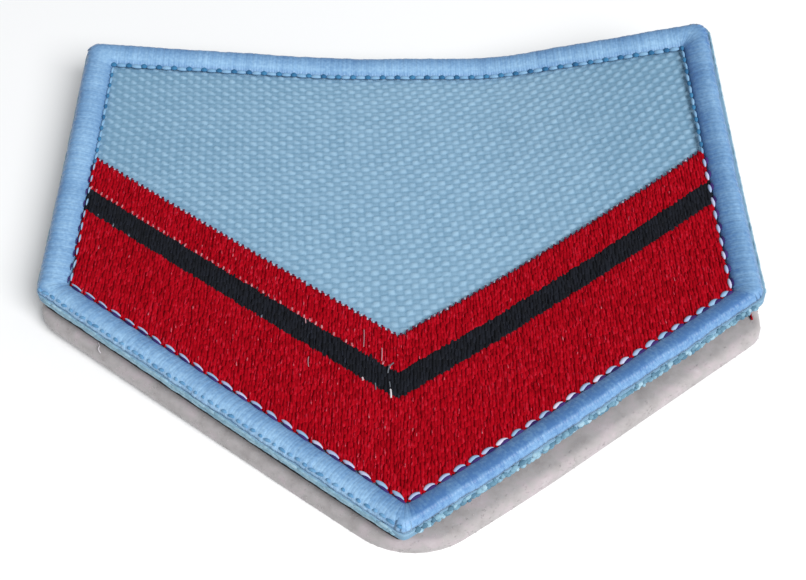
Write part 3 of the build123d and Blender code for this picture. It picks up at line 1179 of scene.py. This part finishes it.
# %% Standing the loops up
pile_depth = 0.24 * MM
lowest = 0.02 * MM
sizes = (rng.uniform(0.5, 1.0, pile_count) * np.where(arc > 1.2, 0.5, 1.0))[:, None] * pile_depth
turns = rng.uniform(0, 2 * pi, pile_count)
up = np.column_stack([outwards * np.cos(rim_turn)[:, None], np.sin(rim_turn)])
first = np.column_stack([directions * np.cos(turns)[:, None], np.sin(turns)])
first -= up * (first * up).sum(1)[:, None]
first = unit(first)
axes = np.stack([first, np.cross(up, first), up], axis=1)
x, y, z = (points_of(pile_loop)[None, :, axis, None] for axis in range(3))
turned = axes[:, None, 0] * x + axes[:, None, 1] * y + axes[:, None, 2] * z
places = np.column_stack([spots, heights])[:, None] + sizes[:, None] * turned
places[:, :, 2] = np.maximum(places[:, :, 2], lowest)
pile = joined_copies("loop_pile", pile_loop, places, rng.uniform(0, 1, pile_count))
retire(pile_loop)
told(pile)

# %% [markdown]
# A used patch carries lint and loose thread ends. Each is a bare fibre: a NURBS curve drawn through a few
# points and bevelled to a tube, laid on the thread or on the loop piece. They are few and each is bent
# its own way, so they are listed one by one and not placed by chance.

# %% One loose fibre
fibre_bow = 0.12 * MM


def fibre(name, tone, radius, height, places):
    data = bpy.data.curves.new(name, "CURVE")
    data.dimensions = "3D"
    data.bevel_depth = radius * MM
    data.bevel_resolution = 1
    data.resolution_u = 4
    data.use_fill_caps = True
    line = data.splines.new("NURBS")
    line.points.add(len(places) - 1)
    for number, (point, (x, y)) in enumerate(zip(line.points, places)):
        bow = fibre_bow if 0 < number < len(places) - 1 else 0
        point.co = (x * MM, y * MM, height + bow, 1)
    line.order_u = 3
    line.use_endpoint_u = True
    drawn = bpy.data.objects.new(name + "_drawn", data)
    made = bpy.data.objects.new(name, bpy.data.meshes.new_from_object(drawn))
    bpy.context.scene.collection.objects.link(made)
    bpy.data.objects.remove(drawn)
    bpy.data.curves.remove(data)
    picked(made)
    bpy.ops.object.mode_set(mode="EDIT")
    bpy.ops.mesh.select_all(action="SELECT")
    bpy.ops.mesh.remove_doubles(threshold=0.001 * MM)
    bpy.ops.object.mode_set(mode="OBJECT")
    attribute(made, "tone", np.full(len(made.data.vertices), tone))
    return made


# %% Loose thread ends and red lint
on_band = thread_top + 0.10 * MM
on_loop = loop_thickness + 0.15 * MM
LOOSE_ENDS = (
    # tone, radius in mm, height, points in flat mm
    (0.48, 0.05, on_band, ((-4.58, -3.8), (-4.50, -5.2), (-4.56, -6.7))),
    (0.50, 0.055, on_band, ((-2.12, -6.9), (-2.06, -7.9), (-2.12, -9.0))),
    (0.25, 0.09, on_band, ((-0.55, -9.35), (-0.95, -9.75), (-1.25, -10.5), (-1.28, -11.0))),
    (0.15, 0.08, on_band, ((-1.05, -12.4), (-0.95, -13.2))),
    (0.90, 0.12, on_band, ((-0.92, -13.6), (-0.80, -14.3), (-0.84, -14.9))),
    (0.75, 0.14, on_band, ((-4.60, -11.7), (-4.50, -12.1))),
    (0.25, 0.08, on_band, ((-2.9, -12.6), (-2.8, -13.6))),
    (0.45, 0.055, on_band, ((-11.8, -8.4), (-11.9, -9.4), (-11.7, -10.0))),
    (0.55, 0.07, on_band, ((-12.6, -1.9), (-12.5, -2.7))),
    (0.90, 0.09, on_loop, ((-40.7, -4.4), (-40.3, -5.0), (-40.6, -5.5), (-40.1, -6.1))),
)
fibres = [fibre("loose_end", *row) for row in LOOSE_ENDS]
picked(fibres[0])
for made in fibres:
    made.select_set(True)
bpy.ops.object.join()
loose_ends = bpy.context.object
loose_ends.name = loose_ends.data.name = "loose_thread_ends"
lay_down(loose_ends)
bpy.ops.object.shade_smooth_by_angle(angle=radians(60))
told(loose_ends)
red_lint = fibre("red_lint", 0.4, 0.16, on_loop, ((47.95, -0.1), (47.85, -0.9), (48.0, -1.7)))
lay_down(red_lint)
told(red_lint)

# %% [markdown]
# The patch lies on white paper, and behind it the photograph is plain white. One large plane gives
# both, because the camera looks down steeply and sees nothing beyond it.

# %% Floor
fresh()
bpy.ops.mesh.primitive_plane_add(size=4.0, location=(0, 0, 0))
floor = named("pale_floor")
print("floor", [round(side, 1) for side in floor.dimensions])

# %% [markdown]
# The camera stands where the photograph was taken from, in front of the tip and above, close enough for
# the patch to fill the picture. Its place, lens and shift were fitted to the patch's corners and stitch
# counts, since a camera set by eye would give the sides a wrong slant.

# %% Camera
photo_width = 806
focal_pixels = 1189.23
principal = (403.19, 276.31)
middle_of_photo = (403, 290)
distance = 166.37 * MM
elevation, azimuth, roll = radians(49.417), radians(0.574), radians(-0.477)
aim = Vector((0.656 * MM, 5.731 * MM, thread_top)) + Vector(to_frame)
camera_data = bpy.data.cameras.new("camera")
camera = bpy.data.objects.new("camera", camera_data)
bpy.context.scene.collection.objects.link(camera)
back = Vector((sin(azimuth) * cos(elevation), -cos(azimuth) * cos(elevation), sin(elevation)))
camera.location = aim + back * distance
right = back.cross(Vector((0, 0, 1))).normalized() * -1
up = back.cross(right)
turned_right = right * cos(roll) + up * sin(roll)
turned_up = up * cos(roll) - right * sin(roll)
camera.rotation_euler = Matrix((turned_right, turned_up, back)).transposed().to_euler()
camera_data.sensor_width = 36.0
camera_data.lens = camera_data.sensor_width * focal_pixels / photo_width
camera_data.shift_x = (middle_of_photo[0] - principal[0]) / photo_width
camera_data.shift_y = (principal[1] - middle_of_photo[1]) / photo_width
camera_data.clip_start = 0.01
bpy.context.scene.camera = camera
print("camera at", [round(v / MM, 1) for v in camera.location], "lens", round(camera_data.lens, 2))

# %% [markdown]
# The photograph has soft, nearly shadowless light that comes from the right, in front and above. One
# large round area light is that window, and a bright, faintly blue sky fills the rest. More lamps would
# only wash out the weave.

# %% Lights
def soft_light(name, place, size, power):
    data = bpy.data.lights.new(name, "AREA")
    data.shape = "DISK"
    data.size = size
    data.energy = power
    light = bpy.data.objects.new(name, data)
    bpy.context.scene.collection.objects.link(light)
    light.location = place
    light.rotation_euler = Vector(place).to_track_quat("Z", "Y").to_euler()


soft_light("window", (0.50, -0.54, 0.70), 0.66, 11.2)
world = bpy.data.worlds.new("studio")
world.use_nodes = True
sky = world.node_tree.nodes["Background"]
sky.inputs["Color"].default_value = (0.94, 0.97, 1.0, 1)
sky.inputs["Strength"].default_value = 0.42
bpy.context.scene.world = world
bpy.context.scene.view_settings.view_transform = "Standard"
print("sky strength", round(sky.inputs["Strength"].default_value, 2))

# %% [markdown]
# Colours are written as the hex values that one reads off a thread chart, and one function turns them
# to the linear values that the shader wants. Another adds a node with its settings and links. Every
# finish here is a colour ramp over some pattern and a bump of the same grain, so a third function ends
# each material in that way.

# %% Helpers for materials
per_mm = 1 / MM


def linear(colour):
    channels = [int(colour[place:place + 2], 16) / 255 for place in (1, 3, 5)]
    return (*(c / 12.92 if c <= 0.04045 else ((c + 0.055) / 1.055) ** 2.4 for c in channels), 1.0)


def add(tree, kind, settings=(), links=()):
    """A new node; settings go to its inputs, or to its own properties, and links to its inputs."""
    made = tree.nodes.new(kind)
    for name, value in dict(settings).items():
        if isinstance(name, int) or name in made.inputs:
            made.inputs[name].default_value = value
        elif name == "stops":
            ramp = made.color_ramp
            ramp.elements[0].position, ramp.elements[0].color = value[0][0], linear(value[0][1])
            ramp.elements[1].position, ramp.elements[1].color = value[-1][0], linear(value[-1][1])
            for place, colour in value[1:-1]:
                ramp.elements.new(place).color = linear(colour)
        else:
            setattr(made, name, value)
    for name, source in dict(links).items():
        tree.links.new(source, made.inputs[name])
    return made


def new_material(name, values):
    """A material with plain values on its shader's own sockets; gives it, its tree and its places."""
    material = bpy.data.materials.new(name)
    material.use_nodes = True
    tree = material.node_tree
    for socket, value in values.items():
        tree.nodes["Principled BSDF"].inputs[socket].default_value = value
    return material, tree, add(tree, "ShaderNodeTexCoord").outputs["Object"]


def coloured(tree, level, stops, grain, strength, depth):
    """Ends a material: colour from a ramp over a level, and a bump of a grain that deep."""
    shader = tree.nodes["Principled BSDF"]
    colour = add(tree, "ShaderNodeValToRGB", {"stops": stops}, {"Fac": level})
    bump = add(tree, "ShaderNodeBump", {"Strength": strength, "Distance": depth}, {"Height": grain})
    tree.links.new(colour.outputs["Color"], shader.inputs["Base Color"])
    tree.links.new(bump.outputs["Normal"], shader.inputs["Normal"])


# %% [markdown]
# Thread is a bundle of fine filaments with a soft gloss. Each stitch's tone picks its colour on a ramp of
# the colours that the real thread shows, from the thread in painted shade to the worn thread in painted
# highlight. A noise of half a millimetre and less breaks the shade up along the thread. An image would do
# this too, but a noise stays sharp close up and needs no picture file.

# %% Thread
def thread_material(name, stops, scale, roughness, specular, sheen=0.0, grain=0.5):
    """Embroidery thread: tone picks each stitch's colour, painted light and shade included, and fine
    streaks run along the filaments.
    """
    material, tree, place = new_material(name, {
        "Roughness": roughness, "Specular IOR Level": specular, "Sheen Weight": sheen,
        "Sheen Roughness": 0.4})
    tone = add(tree, "ShaderNodeAttribute", {"attribute_name": "tone"})
    squeezed = add(tree, "ShaderNodeMapping", {"Scale": scale}, {"Vector": place})
    fine = add(tree, "ShaderNodeTexNoise", {"Scale": 1.0, "Detail": 3.0}, {
        "Vector": squeezed.outputs["Vector"]})
    mixed = add(tree, "ShaderNodeMath", {"operation": "MULTIPLY_ADD", 1: grain}, {
        0: fine.outputs["Fac"], 2: tone.outputs["Fac"]})
    centred = add(tree, "ShaderNodeMath", {"operation": "SUBTRACT", 1: grain / 2}, {0: mixed.outputs[0]})
    coloured(tree, centred.outputs[0], stops, fine.outputs["Fac"], 0.35, 0.05 * MM)
    return material


# %% Thread of the border and the bands
# How often the noise repeats in each mm across, along and up the patch.
even = (6 * per_mm, 6 * per_mm, 6 * per_mm)
mottled = (2.2 * per_mm, 2.2 * per_mm, 2.2 * per_mm)
upright = (5 * per_mm, 1.6 * per_mm, 2 * per_mm)

# Twisted polyester laid side by side: soft gloss, a slightly different blue from thread to thread, and
# the painted light and shade that each thread's tone carries.
border_material = thread_material(
    "light_blue_satin_thread",
    ((0.0, "#4873a9"), (0.3, "#648eba"), (0.6, "#7aa3cb"), (1.0, "#98c0e2")),
    mottled, 0.42, 0.38, 0.12, 0.8)
# Rayon fill stitches: deep and saturated, darker between the stitches, a few worn threads painted pale as
# highlights.
red_material = thread_material(
    "deep_red_rayon_thread",
    ((0.0, "#520008"), (0.25, "#7e000b"), (0.6, "#ac0418"), (0.8, "#bc2338"), (1.0, "#d08b93")),
    upright, 0.65, 0.05, 0.0, 0.85)
# Black rayon: nearly no light comes back, and worn ends are painted pale as highlights.
black_material = thread_material(
    "black_rayon_thread",
    ((0.0, "#07070b"), (0.4, "#101218"), (0.72, "#1b1e27"), (0.9, "#333845"), (1.0, "#8b909c")),
    upright, 0.6, 0.15)

# %% Stitches, gaps, frays and loose fibres
# The same polyester pulled tight in single stitches: the border's blue at the dark end of the ramp, and
# at the pale end nearly white with a breath of pink, a painted reflection of the red beside it.
stitch_material = thread_material(
    "lock_stitch_thread", ((0.0, "#76a2c6"), (0.3, "#8cb3d2"), (0.6, "#aab6d8"), (1.0, "#dcd6e6")),
    even, 0.5, 0.25, 0.1)
# Thread deep in a gap, out of the light: dark violet beside the red, dark blue in the cloth.
gap_material = thread_material(
    "shaded_bobbin_thread", ((0.0, "#2a1a50"), (0.4, "#453070"), (0.7, "#2f658f"), (1.0, "#4480aa")),
    even, 0.8, 0.1)
# The border's own polyester where it dives into the cloth: in shade, so deeper and without gloss.
dash_material = thread_material(
    "shaded_border_thread", ((0.0, "#5486ae"), (1.0, "#6f9dc2")), even, 0.7, 0.15)
# Cut ends of the cloth's spun polyester yarn: matt and fluffy, pale on the tufts, and the dark tufts a
# painted shade between them.
fray_material = thread_material(
    "frayed_cloth_yarn", ((0.0, "#4f7288"), (0.35, "#648a9f"), (0.7, "#7ea3b6"), (1.0, "#a0bfcf")),
    mottled, 0.8, 0.1, 0.1)
# Red rayon seen down a needle hole through pale cloth: a dull plum, the red in painted shade, with no
# gloss at all.
hole_material = thread_material(
    "needle_hole_thread", ((0.0, "#5c1c3c"), (0.5, "#7a3450"), (1.0, "#94506a")), even, 0.9, 0.0)
# A speck of the cloth's matt yarn between red threads: pale, from bluish to faintly pink.
fleck_material = thread_material(
    "pale_cloth_yarn_fleck", ((0.0, "#9cb6cc"), (0.6, "#b4bcd0"), (1.0, "#ccb4c6")), even, 0.8, 0.1)
# Stray nylon and polyester filaments: one plain shade each, from dark grey through pink to white.
loose_material = thread_material(
    "loose_nylon_fibre",
    ((0.0, "#4c5058"), (0.3, "#767c84"), (0.6, "#d9a0a8"), (0.8, "#c9c0c4"), (1.0, "#dfdcdf")),
    even, 0.6, 0.2, grain=0.05)
print("10 kinds of thread")

# %% [markdown]
# The ground cloth is matt, and its colour carries the painted light and shade of the weave and of the
# rolled sides: each point's crown number picks it, and a fine and a broad noise add the fluff of the yarn
# and the faint clouds of a worn cloth. A pattern drawn in the material could never fall exactly on the
# humps of the mesh, so it reads the mesh instead.

# %% Cloth
fluff, clouds = 0.22, 0.25


def cloth_material():
    """Coarse polyester weave: the floats are painted light, and the gaps between yarns a painted shade of
    deep blue-grey.
    """
    material, tree, place = new_material("coarse_woven_polyester", {
        "Roughness": 0.7, "Specular IOR Level": 0.25, "Sheen Weight": 0.1})
    crown = add(tree, "ShaderNodeAttribute", {"attribute_name": "crown"})
    fine = add(tree, "ShaderNodeTexNoise", {"Scale": 5.0 * per_mm, "Detail": 3.0}, {"Vector": place})
    broad = add(tree, "ShaderNodeTexNoise", {"Scale": 0.25 * per_mm, "Detail": 2.0}, {"Vector": place})
    fluffy = add(tree, "ShaderNodeMath", {"operation": "MULTIPLY_ADD", 1: fluff}, {
        0: fine.outputs["Fac"], 2: crown.outputs["Fac"]})
    clouded = add(tree, "ShaderNodeMath", {"operation": "MULTIPLY_ADD", 1: clouds}, {
        0: broad.outputs["Fac"], 2: fluffy.outputs[0]})
    centred = add(tree, "ShaderNodeMath", {"operation": "SUBTRACT", 1: (fluff + clouds) / 2}, {
        0: clouded.outputs[0]})
    # From the painted shade in the gaps and on the rolled sides to the painted highlight on the floats.
    stops = ((0.0, "#6c93ae"), (0.3, "#7ca1bb"), (0.6, "#8bafc9"), (1.0, "#9abdd5"))
    coloured(tree, centred.outputs[0], stops, fine.outputs["Fac"], 0.4, 0.06 * MM)
    return material


# %% [markdown]
# The pile, the tape and the paper have no threads to follow. One broad noise gives each its mottle and
# its small bumps, with the size and the depth of the real thing's.

# %% Loop piece, hook tape and floor
def soft_material(name, stops, scale, roughness, sheen, depth):
    """A matt surface without threads: one noise of that scale gives its mottle and its bumps."""
    material, tree, place = new_material(name, {
        "Roughness": roughness, "Specular IOR Level": 0.15, "Sheen Weight": sheen})
    broad = add(tree, "ShaderNodeTexNoise", {"Scale": scale, "Detail": 5.0, "Roughness": 0.6}, {
        "Vector": place})
    coloured(tree, broad.outputs["Fac"], stops, broad.outputs["Fac"], 0.5, depth)
    return material


# Brushed nylon tricot: a matt haze of fibres, warm grey with a faint pink mottle.
loop_material = soft_material(
    "brushed_nylon_loop", ((0.3, "#969090"), (0.5, "#a6a1a1"), (0.62, "#aea4a7"), (0.8, "#bcb7b8")),
    0.35 * per_mm, 0.95, 0.4, 0.08 * MM)
# The pile's own fibres: painted paler than the haze below them, as painted light that comes through them.
pile_material = soft_material(
    "pale_nylon_pile", ((0.3, "#b4aeae"), (0.5, "#c0bbbb"), (0.8, "#cdc8c9")),
    0.35 * per_mm, 0.95, 0.0, 0.001 * MM)
# Moulded nylon hooks seen from the side: dark, with a dull plastic gloss.
hook_material = soft_material(
    "black_moulded_nylon", ((0.3, "#12161a"), (0.7, "#262c32")), 2.0 * per_mm, 0.5, 0.0, 0.1 * MM)
# Uncoated white paper: matt and nearly even, with broad clouds too faint to see.
floor_material = soft_material(
    "pale_paper_sweep", ((0.3, "#fbfbfb"), (0.7, "#fdfdfd")), 2.0, 0.95, 0.0, 0.1 * MM)
print("4 soft materials")

# %% [markdown]
# The cloth was kept flat until now, so that its crown numbers could be read off its humps. It is laid
# down last. Then every piece gets its material and its body, and the nodes of the fixed frame that it
# stands for are hidden. One table holds all of it, with each piece's record slot, so that none is
# forgotten.

# %% Laying the cloth down
# The crown number carries the painted highlight on the floats and the painted shade in the gaps and on
# the rolled sides.
attribute(cloth, "crown", np.clip(painted_cloth_light(points_of(cloth)), 0, 1))
flat_map(cloth)
lay_down(cloth)
picked(cloth)
bpy.ops.object.shade_smooth_by_angle(angle=radians(60))
told(cloth)

# %% Dressing the pieces
DRESS = (
    # piece, material, record's slot, nodes that it stands for
    (cloth, cloth_material(), "ground_cloth", ["ground_cloth"]),
    (border, border_material, "border_thread", ["border"]),
    (upper_red, red_material, "red_thread", ["upper_red_band"]),
    (black, black_material, "black_thread", ["black_stripe"]),
    (lower_red, red_material, "red_thread", ["lower_red_band"]),
    (hook_tape, hook_material, "hook_tape", ["hook_tape"]),
    (loop_piece, loop_material, "loop_piece", ["loop_piece"]),
    (pile, pile_material, "loop_piece", []),
    (lock_stitches, stitch_material, "border_thread", []),
    (stitch_gaps, gap_material, "border_thread", []),
    (foot_dashes, dash_material, "border_thread", []),
    (frayed, fray_material, "ground_cloth", []),
    (needle_holes, hole_material, "red_thread", []),
    (edge_flecks, fleck_material, "ground_cloth", []),
    (loose_ends, loose_material, "border_thread", []),
    (red_lint, red_material, "red_thread", []),
)
for piece, material, slot, nodes in DRESS:
    piece.data.materials.clear()
    piece.data.materials.append(material)
    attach(piece, "root")
    if nodes:
        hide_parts(*nodes)
floor.data.materials.append(floor_material)
print(len(DRESS), "pieces dressed")

# %% [markdown]
# Three pieces are sheets of fabric, each with a flat size and area from before the sides were rolled up.
# Both are measured on the outlines that the pieces were cut to.

# %% Sheets
def flat_size(outline):
    return tuple(float(side) for side in np.ptp(np.array(outline), axis=0))


print("cloth laid flat, in mm:", [round(side / MM, 1) for side in flat_size(cloth_outline)])
